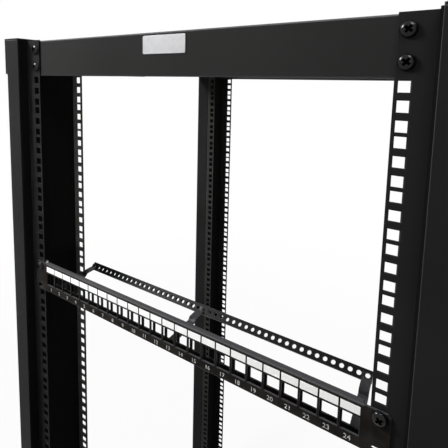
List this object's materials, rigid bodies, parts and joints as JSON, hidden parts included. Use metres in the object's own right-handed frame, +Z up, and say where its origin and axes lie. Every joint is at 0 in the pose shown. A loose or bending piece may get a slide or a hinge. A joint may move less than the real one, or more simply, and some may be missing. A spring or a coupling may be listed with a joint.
{
  "type": "four-post open frame equipment rack",
  "caption": "Black four-post open frame rack for 19-inch equipment: box posts with square-hole flanges, crossbars, side rails, levelling feet and a snap-in patch panel with a lacing bar.",
  "frame": {"origin": "floor level under the middle of the rack", "axes": "+Z up, +X to the right seen from the front, +Y to the rear, so the front faces -Y"},
  "size_m": [0.571, 0.648, 1.3371],
  "materials": {
    "post_paint": "satin black powder coat",
    "rail_paint": "satin black powder coat",
    "crossbar_paint": "satin black powder coat",
    "panel_paint": "satin black enamel",
    "port_plastic": "matte black",
    "lacing_steel": "satin black enamel",
    "foot_steel": "zinc plated"
  },
  "bodies": {
    "root": {"front_left_post": "post_paint", "front_left_flange": "rail_paint", "front_left_inner_flange": "rail_paint", "front_left_foot": "foot_steel", "front_left_top_rail": "post_paint", "front_left_bottom_rail": "post_paint", "front_right_post": "post_paint", "front_right_flange": "rail_paint", "front_right_inner_flange": "rail_paint", "front_right_foot": "foot_steel", "front_right_top_rail": "post_paint", "front_right_bottom_rail": "post_paint", "front_top_crossbar": "crossbar_paint", "front_bottom_crossbar": "crossbar_paint", "rear_left_post": "post_paint", "rear_left_flange": "rail_paint", "rear_left_inner_flange": "rail_paint", "rear_left_foot": "foot_steel", "rear_left_top_rail": "post_paint", "rear_left_bottom_rail": "post_paint", "rear_right_post": "post_paint", "rear_right_flange": "rail_paint", "rear_right_inner_flange": "rail_paint", "rear_right_foot": "foot_steel", "rear_right_top_rail": "post_paint", "rear_right_bottom_rail": "post_paint", "rear_top_crossbar": "crossbar_paint", "rear_bottom_crossbar": "crossbar_paint", "left_top_splice": "post_paint", "left_bottom_splice": "post_paint", "left_lacing_arm": "lacing_steel", "right_top_splice": "post_paint", "right_bottom_splice": "post_paint", "right_lacing_arm": "lacing_steel", "patch_panel": "panel_paint", "port_frame": "port_plastic", "lacing_bar": "lacing_steel", "middle_lacing_arm": "lacing_steel"}
  },
  "joints": []
}
